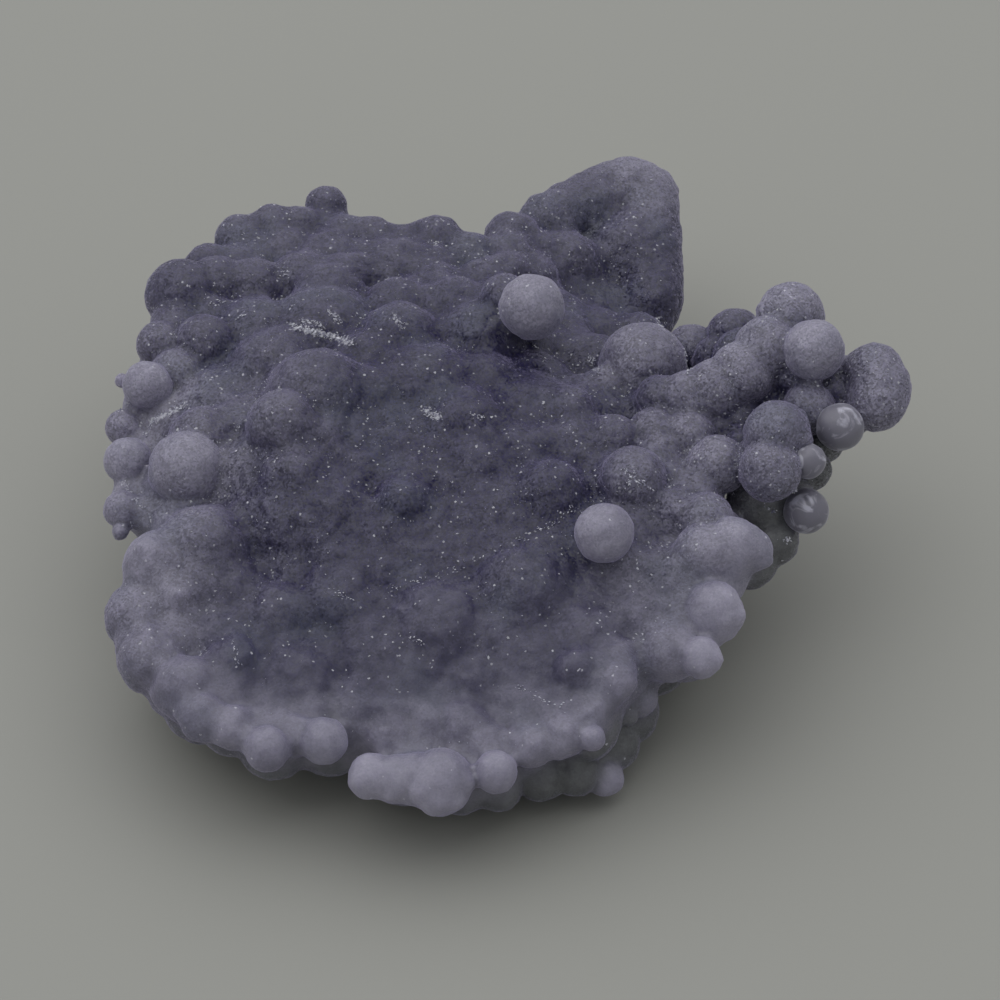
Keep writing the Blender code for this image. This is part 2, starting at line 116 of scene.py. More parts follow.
middleDomes = [Dome(*values) for values in (
    (404, 503, 27, 0.26), (550, 500, 42, 0.18), (505, 296, 24, 0.50), (440, 640, 62, 0.14),
    (525, 600, 62, 0.14), (585, 640, 40, 0.18), (270, 520, 44, 0.14), (340, 610, 50, 0.14),
    (480, 345, 46, 0.14), (400, 345, 44, 0.16), (330, 300, 38, 0.16),
)]
backDomes = [Dome(*values) for values in (
    (208, 268, 25, 0.50), (240, 241, 27, 0.50), (273, 231, 28, 0.50), (300, 231, 26, 0.48),
    (326, 207, 21, 0.80), (346, 240, 26, 0.46), (371, 242, 27, 0.50), (405, 248, 25, 0.44),
    (436, 244, 30, 0.52), (470, 258, 27, 0.42), (512, 240, 30, 0.42), (548, 222, 32, 0.42),
    (590, 203, 34, 0.44), (630, 188, 34, 0.46), (650, 194, 30, 0.42), (628, 256, 42, 0.22),
    (648, 242, 36, 0.22), (652, 292, 34, 0.20), (565, 265, 36, 0.22),
)]

# Berries with a height of their own
branchBerries = [Berry(*values) for values in (
    (532, 307, 33, 21.0), (505, 300, 26, 19.0),
    # the arm and its tip
    (660, 398, 24, 17.0), (688, 399, 29, 17.2), (716, 391, 33, 17.6), (742, 374, 33, 18.6),
    (768, 349, 34, 19.6), (791, 316, 34, 20.4), (814, 350, 31, 21.0), (800, 372, 30, 18.2),
    # the outermost cluster
    (874, 374, 32, 18.2), (877, 402, 31, 17.4), (848, 384, 29, 16.8), (826, 396, 27, 16.6),
    (840, 427, 24, 17.2), (809, 409, 27, 17.2), (777, 434, 34, 18.0), (770, 470, 32, 16.8),
    (808, 461, 18, 17.0), (806, 511, 23, 12.6),
    # behind and below the arm
    (735, 337, 29, 16.4), (742, 358, 30, 17.0), (720, 362, 28, 15.4), (692, 352, 28, 14.6),
    (643, 366, 44, 16.2), (606, 390, 25, 15.6), (765, 400, 32, 15.8), (738, 420, 30, 15.4),
    (715, 430, 30, 15.0), (745, 452, 32, 14.4),
)]
undersideBerries = [Berry(*values) for values in (
    (774, 541, 25, 10.0), (790, 500, 26, 12.0), (760, 500, 34, 12.0), (748, 560, 30, 9.0),
    (810, 470, 22, 13.0), (820, 440, 24, 13.6), (852, 412, 24, 14.4), (638, 696, 21, 6.4),
    (628, 716, 10, 6.0), (576, 772, 25, 3.2), (605, 778, 19, 2.4), (612, 744, 28, 3.2),
    (588, 752, 34, 2.8), (575, 730, 40, 3.0), (625, 712, 34, 4.0), (498, 786, 26, 3.6),
    (540, 774, 28, 3.2), (520, 750, 40, 3.4), (655, 664, 32, 6.0), (460, 790, 26, 3.4),
    (690, 620, 40, 7.0),
)]

# How pale the surface is, as read: 0 is the dark middle, 1 the palest rim
paleSpots = [Paint(*values) for values in (
    # the dark middle and the plate round it
    (470, 560, 95, 0.09), (380, 480, 80, 0.05), (560, 470, 70, 0.04), (480, 660, 80, 0.17),
    (330, 640, 70, 0.07), (260, 560, 50, 0.14), (640, 600, 50, 0.32), (400, 330, 80, 0.04),
    (300, 260, 60, 0.17), (420, 260, 60, 0.16), (300, 415, 44, 0.30),
    # the left rim
    (182, 296, 38, 0.12), (150, 350, 30, 0.37), (147, 386, 24, 0.85), (128, 461, 24, 0.77),
    (122, 512, 20, 0.70), (187, 469, 34, 0.60), (205, 440, 26, 0.22), (204, 553, 36, 0.37),
    (158, 566, 34, 0.74), (130, 620, 30, 0.42), (150, 665, 34, 0.50), (188, 700, 30, 0.45),
    # the front rim
    (232, 735, 26, 0.66), (267, 745, 34, 0.62), (324, 738, 34, 0.80), (372, 778, 30, 1.00),
    (440, 785, 34, 0.84), (496, 770, 28, 0.88), (430, 735, 34, 0.64), (530, 748, 26, 0.75),
    (575, 740, 28, 0.68), (520, 715, 30, 0.46), (620, 700, 26, 0.64),
    # the right rim
    (704, 553, 28, 0.72), (740, 550, 28, 0.83), (714, 612, 28, 0.98), (701, 658, 22, 0.93),
    (665, 655, 28, 0.64), (700, 520, 24, 0.40), (633, 480, 30, 0.46), (655, 437, 26, 0.38),
    (612, 441, 26, 0.20), (569, 415, 26, 0.21),
    # the tongue
    (600, 250, 60, 0.17), (640, 290, 50, 0.04), (640, 180, 30, 0.55), (580, 200, 34, 0.22),
    (500, 240, 34, 0.18),
)]

# The same for berries that stand on their own
paleBerries = {
    (532, 307): 0.71, (604, 533): 0.75, (791, 316): 0.60, (814, 350): 0.70, (874, 374): 0.52,
    (877, 402): 0.52, (848, 384): 0.66, (643, 366): 0.52, (606, 390): 0.50, (735, 337): 0.20,
    (692, 352): 0.30, (768, 349): 0.55, (742, 374): 0.55, (716, 391): 0.50, (688, 399): 0.50,
    (777, 434): 0.36, (770, 470): 0.40, (809, 409): 0.40, (717, 465): 0.50, (688, 438): 0.45,
    (638, 696): 0.80, (605, 778): 1.00, (808, 461): 0.80, (840, 427): 0.95, (806, 511): 0.95,
    (187, 470): 0.66, (179, 378): 0.36, (147, 386): 0.68, (160, 345): 0.30, (166, 347): 0.34,
    (203, 441): 0.26, (124, 428): 0.52, (128, 461): 0.70, (122, 510): 0.60,
}

# How far a ball stands clear of the rest, by its place, or by what it is
crispBalls = {ball: share for share, balls in (
    (0.0, ("core", (590, 203), (630, 188), (650, 194), (628, 256), (648, 242), (652, 292),
        (565, 265))),
    (0.05, ((300, 690), (440, 640), (525, 600), (270, 520), (340, 610), (480, 345))),
    (0.1, ("dome", (430, 730), (520, 715), (360, 715), (628, 575), (585, 640), (400, 345),
        (548, 222))),
    (0.15, ((638, 620), (672, 585), (550, 500), (330, 300))),
    (0.25, ((235, 665), (158, 566), (138, 618), (150, 658), (188, 690), (512, 240))),
    (0.3, ("root", (232, 728), (202, 717), (346, 240), (371, 242), (405, 248), (470, 258),
        (668, 650), (874, 374), (877, 402))),
    (0.35, ((240, 241), (273, 231), (300, 231))),
    (0.4, ((296, 735), (505, 296), (252, 291), (208, 268), (436, 244))),
    (0.45, ("under", (267, 749), (530, 745), (562, 733), (404, 503), (204, 553))),
    (0.5, ((324, 741), (415, 779), (569, 415))),
    (0.55, ((394, 779),)),
    (0.6, ((372, 776), (318, 404), (612, 441), (704, 553), (733, 548), (752, 550), (714, 612))),
    (0.65, ((440, 782),)),
    (0.7, ((701, 658),)),
    (0.75, ((496, 772), (283, 427))),
) for ball in balls}

# Rim balls and berries that are lobed themselves
lobedBalls = {
    (158, 566), (138, 618), (150, 658), (188, 690), (202, 717), (232, 728), (372, 776),
    (394, 779), (415, 779), (440, 782), (530, 745), (562, 733), (704, 553), (733, 548),
    (752, 550), (714, 612), (701, 658), (791, 316), (777, 434),
}

# Berries with a thick sugar of quartz
sugarBerries = {
    (791, 316), (768, 349), (742, 374), (716, 391), (688, 399), (660, 398), (874, 374),
    (877, 402), (809, 409), (735, 337),
}

# Domes that even out the tongue's two edges, and a berry that joins the two outermost ones
tongueDomes = [Dome(*values) for values in (
    (570, 212, 33, 0.42), (610, 195, 34, 0.45), (650, 206, 31, 0.36), (649, 218, 32, 0.30),
    (648, 230, 34, 0.26), (648, 255, 36, 0.22), (650, 267, 35, 0.21), (651, 280, 34, 0.20),
    (652, 305, 32, 0.20),
)]
joiningBerry = Berry(880, 388, 33, 17.8)

# Berries so clear that one looks into them
clearBerries = {(808, 461), (840, 427), (806, 511)}

# Lines where the skin is broken or white grains have gathered: ends, count and half width
whiteLines = [
    (151, 422, 186, 404, 190, 1.6), (143, 437, 152, 424, 25, 1.0), (292, 326, 350, 342, 300, 2.8),
    (300, 320, 322, 326, 80, 1.6), (330, 312, 340, 322, 60, 1.8), (394, 316, 402, 326, 60, 2.0),
    (278, 270, 290, 278, 30, 3.0), (208, 306, 224, 302, 25, 1.5), (236, 320, 246, 314, 20, 1.5),
    (236, 430, 244, 418, 22, 1.5), (424, 410, 440, 418, 110, 2.6), (470, 414, 482, 418, 25, 2.0),
    (588, 356, 598, 372, 60, 2.5), (686, 350, 689, 374, 60, 1.8), (658, 317, 664, 324, 35, 2.5),
    (624, 470, 640, 484, 60, 2.0), (636, 470, 628, 486, 40, 1.5), (640, 482, 652, 490, 30, 1.5),
    (386, 592, 450, 572, 30, 6.0), (450, 572, 539, 533, 34, 7.0), (539, 533, 575, 508, 34, 3.5),
    (519, 689, 567, 710, 40, 4.5), (330, 590, 352, 600, 30, 3.0), (232, 640, 238, 664, 30, 2.0),
    (410, 636, 422, 644, 30, 2.5), (120, 480, 130, 490, 40, 3.0), (134, 500, 142, 506, 30, 2.5),
    (794, 490, 804, 496, 45, 3.0), (765, 507, 775, 512, 40, 2.5), (784, 538, 790, 542, 25, 2.0),
    (668, 486, 670, 488, 14, 1.0), (845, 424, 856, 434, 60, 3.0), (838, 438, 850, 440, 30, 2.0),
]

view = {
    "distance": 375.0 * mm,
    "elevation": math.radians(40.0),
    "aim": Vector((-0.3, -10.2, 15.0)) * mm,
    "frameMiddle": 500.0,
    "leftColumn": 105.0,
    "rightColumn": 906.0,
}

stone = {
    "width": 60.0 * mm,
    "rimThickness": 1.2 * mm,
    "undersideSlope": 0.72,
    "footCentre": Vector((-2.0, -2.5, 0.0)) * mm,
    "footHalfWidth": 16.0 * mm,
    "footHalfDepth": 22.0 * mm,
    "footWaves": 0.16,
    "footBlend": 0.35,
    "footDepth": 1.9 * mm,
    "fieldColumns": (110, 770),
    "fieldRows": (165, 810),
    # large balls that fill the plate
    "coreRadius": 3.8 * mm,
    "coreStepColumns": 30,
    "coreStepRows": 20,
    "coreShiftColumns": 8.0,
    "coreShiftRows": 6.0,
    "coreShrink": 0.06,
    "coreStackStep": 2.4 * mm,
    "coreInset": 2.0 * mm,
    "coreSink": 0.5 * mm,
    "coreRimSink": 0.6 * mm,
    "coreRimReach": 3.0 * mm,
    # the plate's upper face and the balls that were read
    "levelReach": 40.0,
    "plateMiddleHeight": 14.0 * mm,
    "domeLift": 0.8,
    "rootBehind": 0.8,
    "rootRadius": 0.75,
    # seeded domes between them; the tongue, right of a column and above a row, has none
    "rimZone": 6.0 * mm,
    "domeCount": 190,
    "rimDomeRadius": (1.7 * mm, 2.5 * mm),
    "rimDomeRise": (0.9 * mm, 1.9 * mm),
    "middleDomeRadius": (2.8 * mm, 5.2 * mm),
    "middleDomeRise": (0.15 * mm, 0.5 * mm),
    "domeClearance": 0.54,
    "domeInset": 1.0,
    "tongueColumn": 560.0,
    "tongueRow": 330.0,
    # older growth round the foot and under the rims
    "footLumpCount": 44,
    "footLumpRadius": (2.0 * mm, 3.8 * mm),
    "footLumpShare": (0.08, 0.60),
    "footLumpReach": (0.74, 0.92),
    "footLumpFlare": 0.22,
    "footLumpRoof": 0.3,
    "footLumpShift": 0.3,
    "lumpCount": 260,
    "lumpRadius": (1.5 * mm, 3.2 * mm),
    "lumpSpacing": 2.3 * mm,
    "lumpMargin": 3.6 * mm,
    "lumpLift": 0.35,
    "tries": 60,
    "seed": 7,
    # small lobes on the rim balls
    "budCount": 5,
    "budRadius": (0.30, 0.50),
    "budOutward": 0.9,
    "budSeat": (1.02, 0.75),
    "budSeed": 5,
    # the skin
    "ballSubdivisions": 3,
    "voxel": 0.375 * mm,
    "meniscus": 0.07 * mm,  # how far the crevice between two balls is filled
    "toneBlend": 0.35 * mm,  # how far a ball's colour runs into its neighbour's
    "nearCount": 14,  # the balls that shape a point of the skin
    "drawRounds": 2,
    "drawStep": 0.3 * mm,
    "leastPull": 0.35,
    "cutZone": 0.3 * mm,  # nothing grows on the skin this near to the cut
    "cutBelow": 0.02 * mm,
    "heldBelow": 0.05 * mm,
    "meltRounds": 16,  # how far merged growth is evened out
    "knobSize": 1.3 * mm,
    "knobHeight": 0.15 * mm,
    "knobShares": (0.55, 0.45),  # on firm balls, and more where they have flowed together
    "paintSpread": 0.7,
    "usualCrispness": 0.9,
    # pale skin has less sugar, and so has the front rim
    "barePale": 0.95,
    "bareBlend": 0.5,
    "leastSugar": 0.3,
    "sugarFront": -32.0 * mm,
    "sugarDepth": 20.0 * mm,
    "frontSugar": 0.25,
    "denseLine": 5.0,  # crystals per pixel of a line that is white all over
    "frostReach": 3.0,
    # colours
    "violetDark": "#130e3a",
    "lilacPale": "#9592a3",
    "blueHaze": "#4d5566",
    "olderDark": "#3a3b3e",
    "olderPale": "#717375",
    "bloom": "#ada6ca",
}


def linearColour(code):
    # a sRGB hex code as linear red, green and blue, and full alpha
    values = [int(code[start:start + 2], 16) / 255.0 for start in (1, 3, 5)]
    values = [v / 12.92 if v <= 0.04045 else ((v + 0.055) / 1.055) ** 2.4 for v in values]
    return (*values, 1.0)


pixel = stone["width"] / (view["rightColumn"] - view["leftColumn"])
slope = pixel / view["distance"]
right = Vector((1.0, 0.0, 0.0))
up = Vector((0.0, math.sin(view["elevation"]), math.cos(view["elevation"])))
forward = Vector((0.0, math.cos(view["elevation"]), -math.sin(view["elevation"])))
eye = view["aim"] - forward * view["distance"]


def seen(column, row, height):
    # the point at a height over the floor that shows at a column and row of the view
    across = (column - view["frameMiddle"]) * slope
    above = (view["frameMiddle"] - row) * slope
    ray = forward + right * across + up * above
    return eye + ray * ((height - eye.z) / ray.z)


def shownAt(points):
    # columns and rows where an array of points shows in the view
    offset = points - np.array(eye)
    scale = slope * (offset @ np.array(forward))
    columns = view["frameMiddle"] + offset @ np.array(right) / scale
    rows = view["frameMiddle"] - offset @ np.array(up) / scale
    return columns, rows


def realSize(pixels, point):
    return pixels * slope * (point - eye).dot(forward)


def plateHeight(column, row):
    total = 0.0
    weights = 1e-12
    for level in plateLevels:
        away = (level.column - column) ** 2 + (level.row - row) ** 2
        weight = math.exp(-away / (2.0 * stone["levelReach"] ** 2))
        total += weight * level.heightMm * mm
        weights += weight
    return total / weights


def plateOver(across, deep):
    # height of the plate's upper face over a point of the floor
    height = stone["plateMiddleHeight"]
    for _ in range(6):
        offset = Vector((across, deep, height)) - eye
        scale = slope * offset.dot(forward)
        column = view["frameMiddle"] + offset.dot(right) / scale
        row = view["frameMiddle"] - offset.dot(up) / scale
        height = 0.5 * (height + plateHeight(column, row))
    return height


def outlineMargin(column, row):
    # distance in pixels from the plate's outline, below zero outside it
    nearest = 1e9
    inside = False
    for start, end in zip(plateOutline, plateOutline[1:] + plateOutline[:1]):
        alongC = end.column - start.column
        alongR = end.row - start.row
        share = (column - start.column) * alongC + (row - start.row) * alongR
        share = min(max(share / (alongC ** 2 + alongR ** 2), 0.0), 1.0)
        gapC = column - start.column - share * alongC
        gapR = row - start.row - share * alongR
        nearest = min(nearest, math.hypot(gapC, gapR))
        if (start.row > row) != (end.row > row):
            crossing = start.column + (row - start.row) * alongC / alongR
            if column < crossing:
                inside = not inside
    return nearest if inside else -nearest


def footShare(point):
    across = (point.x - stone["footCentre"].x) / stone["footHalfWidth"]
    deep = (point.y - stone["footCentre"].y) / stone["footHalfDepth"]
    turn = math.atan2(deep, across)
    waves = math.sin(3.0 * turn + 1.0) + 0.6 * math.sin(5.0 * turn)
    reach = 1.0 + stone["footWaves"] * waves
    inward = (1.0 - math.hypot(across, deep) / reach) / stone["footBlend"]
    inward = min(max(inward, 0.0), 1.0)
    return inward * inward * (3.0 - 2.0 * inward)


def plateThickness(margin):
    return stone["rimThickness"] + stone["undersideSlope"] * margin


def undersideHeight(point, margin):
    share = footShare(point)
    return (point.z - plateThickness(margin)) * (1.0 - share) - stone["footDepth"] * share


def coreBalls(random):
    # stacks of large balls that fill the plate and its foot
    balls = []
    for row in range(*stone["fieldRows"], stone["coreStepRows"]):
        for column in range(*stone["fieldColumns"], stone["coreStepColumns"]):
            shiftC, shiftR, shrink = random.uniform(-1.0, 1.0, 3)
            columnHere = column + shiftC * stone["coreShiftColumns"]
            rowHere = row + shiftR * stone["coreShiftRows"]
            margin = outlineMargin(columnHere, rowHere) * pixel
            if margin < stone["coreInset"]:
                continue
            radius = min(stone["coreRadius"], plateThickness(margin) / 2.0)
            radius = radius * (1.0 - stone["coreShrink"] * shrink)
            rimSink = stone["coreRimSink"] * math.exp(-margin / stone["coreRimReach"])
            sink = stone["coreSink"] + rimSink
            top = seen(columnHere, rowHere, plateHeight(columnHere, rowHere) - sink)
            low = min(undersideHeight(top, margin) + radius, top.z - radius)
            steps = max(int(math.ceil((top.z - radius - low) / stone["coreStackStep"])), 0)
            for step in range(steps + 1):
                share = step / steps if steps else 0.0
                height = (top.z - radius) * (1.0 - share) + low * share
                balls.append(Ball(Vector((top.x, top.y, height)), radius, "core"))
    return balls


def domeBall(dome):
    height = plateHeight(dome.column, dome.row)
    near = seen(dome.column, dome.row, height)
    radius = realSize(dome.radius, near)
    lift = (2.0 * dome.proud - 1.0) * radius * stone["domeLift"]
    return Ball(seen(dome.column, dome.row, height + lift), radius, (dome.column, dome.row))


def berryBall(berry):
    centre = seen(berry.column, berry.row, berry.heightMm * mm)
    return Ball(centre, realSize(berry.radius, centre), (berry.column, berry.row))


def rootBall(ball):
    # the stub that joins a berry to what it grew from, hidden behind and below it
    centre = ball.centre + forward * ball.radius * stone["rootBehind"]
    return Ball(centre, ball.radius * stone["rootRadius"], "root")


def kernelOf(ball):
    # a clear berry has a small milky kernel, and any other berry stays as it is
    if ball.kind in clearBerries:
        return ball._replace(radius=ball.radius * clearBerry["kernel"])
    return ball


def clearOf(ball, other):
    apart = (ball.centre - other.centre).length
    return apart > stone["domeClearance"] * (ball.radius + other.radius)


def seededDomes(random, taken):
    # low domes that cover the plate between the ones that were read
    balls = []
    tries = 0
    while len(balls) < stone["domeCount"] and tries < stone["domeCount"] * stone["tries"]:
        tries += 1
        column = random.uniform(*stone["fieldColumns"])
        row = random.uniform(*stone["fieldRows"])
        margin = outlineMargin(column, row) * pixel
        inner = min(max(margin / stone["rimZone"], 0.0), 1.0) > random.uniform()
        radius = random.uniform(*stone["middleDomeRadius" if inner else "rimDomeRadius"])
        rise = random.uniform(*stone["middleDomeRise" if inner else "rimDomeRise"])
        if margin < radius * stone["domeInset"]:
            continue
        ball = domeBall(Dome(column, row, radius / pixel, rise / (2.0 * radius)))
        ball = ball._replace(kind="dome")
        if all(clearOf(ball, other) for other in taken + balls):
            balls.append(ball)
    return balls


def onTongue(ball):
    # the tongue's face is smooth, so it has no small domes
    columns, rows = shownAt(np.array([ball.centre]))
    return columns[0] > stone["tongueColumn"] and rows[0] < stone["tongueRow"]


def seededLumps(random):
    # lumps of the older growth all over the underside
    balls = []
    tries = 0
    while len(balls) < stone["lumpCount"] and tries < stone["lumpCount"] * stone["tries"]:
        tries += 1
        column = random.uniform(*stone["fieldColumns"])
        row = random.uniform(*stone["fieldRows"])
        radius = random.uniform(*stone["lumpRadius"])
        margin = outlineMargin(column, row) * pixel
        if margin < stone["lumpMargin"]:
            continue
        top = seen(column, row, plateHeight(column, row))
        height = max(undersideHeight(top, margin), 0.0) + stone["lumpLift"] * radius
        centre = Vector((top.x, top.y, min(height, top.z - radius - stone["coreSink"])))
        near = min(((centre - other.centre).length for other in balls), default=1.0)
        if near > stone["lumpSpacing"]:
            balls.append(Ball(centre, radius, "under"))
    return balls


def footLumps(random):
    # lumps around the foot's side
    balls = []
    for number in range(stone["footLumpCount"]):
        shift = random.uniform(-stone["footLumpShift"], stone["footLumpShift"])
        turn = 2.0 * math.pi * (number + shift) / stone["footLumpCount"]
        share = random.uniform(*stone["footLumpShare"])
        reach = random.uniform(*stone["footLumpReach"]) + stone["footLumpFlare"] * share
        across = stone["footCentre"].x + stone["footHalfWidth"] * reach * math.cos(turn)
        deep = stone["footCentre"].y + stone["footHalfDepth"] * reach * math.sin(turn)
        roof = plateOver(across, deep)
        radius = min(random.uniform(*stone["footLumpRadius"]), roof * stone["footLumpRoof"])
        balls.append(Ball(Vector((across, deep, roof * share)), radius, "under"))
    return balls


def buds(parents):
    # small lobes on the outer side of a rim ball, so that the rim is scalloped
    random = np.random.RandomState(stone["budSeed"])
    middle = np.array(stone["footCentre"])
    reach, inset = stone["budSeat"]
    balls = []
    for ball in parents:
        outward = np.array(ball.centre) - middle
        outward[2] = 0.0
        outward /= np.linalg.norm(outward)
        for _ in range(stone["budCount"]):
            way = random.normal(size=3) + outward * stone["budOutward"]
            way /= np.linalg.norm(way)
            share = random.uniform(*stone["budRadius"])
            centre = ball.centre + Vector(way) * ball.radius * (reach - inset * share)
            balls.append(Ball(centre, ball.radius * share, ball.kind))
    return balls


def allBalls():
    random = np.random.RandomState(stone["seed"])
    domes = leftDomes + frontDomes + rightDomes + middleDomes + backDomes
    standing = [domeBall(dome) for dome in domes]
    berries = [berryBall(berry) for berry in branchBerries]
    under = [berryBall(berry) for berry in undersideBerries]
    roots = [rootBall(ball) for ball in standing + berries + under]
    core = coreBalls(random)
    covering = [ball for ball in seededDomes(random, standing + berries)
                if not onTongue(ball)]
    lumps = seededLumps(random) + footLumps(random)
    lobed = [ball for ball in standing + berries if ball.kind in lobedBalls]
    even = [domeBall(dome)._replace(kind="core") for dome in tongueDomes]
    even.append(berryBall(joiningBerry)._replace(kind=(877, 402)))
    berries = [kernelOf(ball) for ball in berries]
    return standing + berries + roots + under + core + covering + lumps + buds(lobed) + even


def ballMesh(balls):
    # one mesh with a closed sphere for each ball, still separate
    pattern = bmesh.new()
    bmesh.ops.create_icosphere(pattern, subdivisions=stone["ballSubdivisions"], radius=1.0)
    unit = np.array([vertex.co for vertex in pattern.verts])
    corners = np.array([[vertex.index for vertex in face.verts] for face in pattern.faces])
    pattern.free()
    points = [unit * ball.radius + np.array(ball.centre) for ball in balls]
    faces = [corners + len(unit) * number for number in range(len(balls))]
    mesh = bpy.data.meshes.new("balls")
    mesh.from_pydata(np.concatenate(points).tolist(), [], np.concatenate(faces).tolist())
    return mesh


def outerSkin(shape):
    # delete every shell but the largest, so that no pocket is left inside
    unseen = set(shape.verts)
    shells = []
    while unseen:
        front = [unseen.pop()]
        shell = list(front)
        while front:
            vertex = front.pop()
            for edge in vertex.link_edges:
                other = edge.other_vert(vertex)
                if other in unseen:
                    unseen.remove(other)
                    front.append(other)
                    shell.append(other)
        shells.append(shell)
    shells.sort(key=len, reverse=True)
    for shell in shells[1:]:
        bmesh.ops.delete(shape, geom=shell, context="VERTS")


def fusedMesh(balls):
    # the skin round all balls, cut flat where the stone rests
    holder = addObject("balls", ballMesh(balls))
    fuse = holder.modifiers.new("fuse", "REMESH")
    fuse.mode = "VOXEL"
    fuse.voxel_size = stone["voxel"]
    graph = bpy.context.evaluated_depsgraph_get()
    mesh = bpy.data.meshes.new_from_object(holder.evaluated_get(graph), depsgraph=graph)
    bpy.data.objects.remove(holder)
    shape = bmesh.new()
    shape.from_mesh(mesh)
    outerSkin(shape)
    bmesh.ops.triangulate(shape, faces=shape.faces[:])
    everything = shape.verts[:] + shape.edges[:] + shape.faces[:]
    cut = bmesh.ops.bisect_plane(shape, geom=everything, plane_co=(0, 0, 0), plane_no=(0, 0, 1),
                                 clear_inner=True)
    rims = [item for item in cut["geom_cut"] if isinstance(item, bmesh.types.BMEdge)]
    bmesh.ops.contextual_create(shape, geom=rims)
    bmesh.ops.triangulate(shape, faces=[face for face in shape.faces if len(face.verts) > 3])
    bmesh.ops.recalc_face_normals(shape, faces=shape.faces[:])
    shape.to_mesh(mesh)
    shape.free()
    return mesh


def readRows(items, name, width, kind=float):
    # one property of all vertices, edges or faces, a row for each
    values = np.empty(len(items) * width, dtype=kind)
    items.foreach_get(name, values)
    return values.reshape(-1, width)


def nearBalls(points, balls):
    # for each point the balls whose skins are nearest, as rows of ball numbers
    centres = np.array([ball.centre for ball in balls])
    radii = np.array([ball.radius for ball in balls])
    squares = (centres ** 2).sum(axis=1)
    found = np.empty((len(points), stone["nearCount"]), dtype=np.int64)
    batch = 8000  # points at a time, for the sake of memory
    for start in range(0, len(points), batch):
        part = points[start:start + batch]
        away = (part ** 2).sum(axis=1)[:, None] - 2.0 * (part @ centres.T) + squares
        gap = np.sqrt(np.maximum(away, 0.0)) - radii
        ranked = np.argpartition(gap, stone["nearCount"], axis=1)
        found[start:start + batch] = ranked[:, :stone["nearCount"]]
    return found


def ballField(points, balls, near, blend):
    # distance to the smoothly joined balls, its gradient, and the near balls' weights
    centres = np.array([ball.centre for ball in balls])[near]
    radii = np.array([ball.radius for ball in balls])[near]
    offset = points[:, None, :] - centres
    length = np.linalg.norm(offset, axis=2)
    gap = length - radii
    nearest = gap.min(axis=1, keepdims=True)
    weight = np.exp(-(gap - nearest) / blend)
    total = weight.sum(axis=1, keepdims=True)
    weight = weight / total
    distance = nearest[:, 0] - blend * np.log(total[:, 0])
    pull = (offset / length[:, :, None] * weight[:, :, None]).sum(axis=1)
    return distance, pull, weight


def drawToBalls(points, balls, near):
    # move the points of the skin onto the balls, so that crevices are crisp
    for _ in range(stone["drawRounds"]):
        distance, pull, _ = ballField(points, balls, near, stone["meniscus"])
        size = np.maximum(np.linalg.norm(pull, axis=1), stone["leastPull"])
        step = np.clip(-distance / size, -stone["drawStep"], stone["drawStep"])
        points += pull / size[:, None] * step[:, None]


def neighbourMean(values, ends, count):
    # the mean over each point's neighbours of a column of values
    total = np.bincount(ends[:, 0], weights=values[ends[:, 1]], minlength=len(values))
    total += np.bincount(ends[:, 1], weights=values[ends[:, 0]], minlength=len(values))
    return total / count


def melt(points, ends, softness):
    # even out the relief where the growth has flowed together, most where softness is 1
    count = np.maximum(np.bincount(ends.ravel(), minlength=len(points)), 1).astype(float)
    held = points[:, 2] < stone["heldBelow"]
    share = 0.5 * softness
    share[held] = 0.0
    share *= np.clip(1.25 * softness - 0.25, 0.0, 1.0)
    for _ in range(stone["meltRounds"]):
        for axis in range(3):
            column = points[:, axis]
            points[:, axis] = column + share * (neighbourMean(column, ends, count) - column)


def spotPale(columns, rows):
    total = np.zeros(len(columns))
    weights = np.full(len(columns), 1e-9)
    for spot in paleSpots:
        away = (columns - spot.column) ** 2 + (rows - spot.row) ** 2
        weight = np.exp(-away / (2.0 * (stone["paintSpread"] * spot.reach) ** 2))
        total += weight * spot.pale
        weights += weight
    return total / weights


def ballTones(points, balls, near):
    # how pale, how old, how soft and how sugared each point is
    columns, rows = shownAt(points)
    plate = spotPale(columns, rows)
    own = np.array([paleBerries.get(ball.kind, -1.0) for ball in balls])
    named = own >= 0.0
    youngBerries = clearBerries | {(638, 696), (605, 778)}
    oldKinds = {(berry.column, berry.row) for berry in undersideBerries} - youngBerries
    old = np.array([ball.kind == "under" or ball.kind in oldKinds for ball in balls], float)
    crisp = np.array([crispness(ball) for ball in balls])
    _, _, weight = ballField(points, balls, near, stone["toneBlend"])
    share = (weight * named[near]).sum(axis=1)
    value = (weight * np.where(named, own, 0.0)[near]).sum(axis=1)
    pale = plate * (1.0 - share) + value
    older = (weight * old[near]).sum(axis=1)
    softness = 1.0 - (weight * crisp[near]).sum(axis=1)
    sweet = np.array([ball.kind in sugarBerries for ball in balls], float)
    sugared = (weight * sweet[near]).sum(axis=1)
    bare = (stone["barePale"] - pale) / stone["bareBlend"]
    sugar = np.clip(bare, stone["leastSugar"], 1.0) * (1.0 - sugared) + sugared
    inward = (points[:, 1] - stone["sugarFront"]) / stone["sugarDepth"]
    sugar *= np.clip(inward, stone["frontSugar"], 1.0)
    return pale, older, softness, sugar


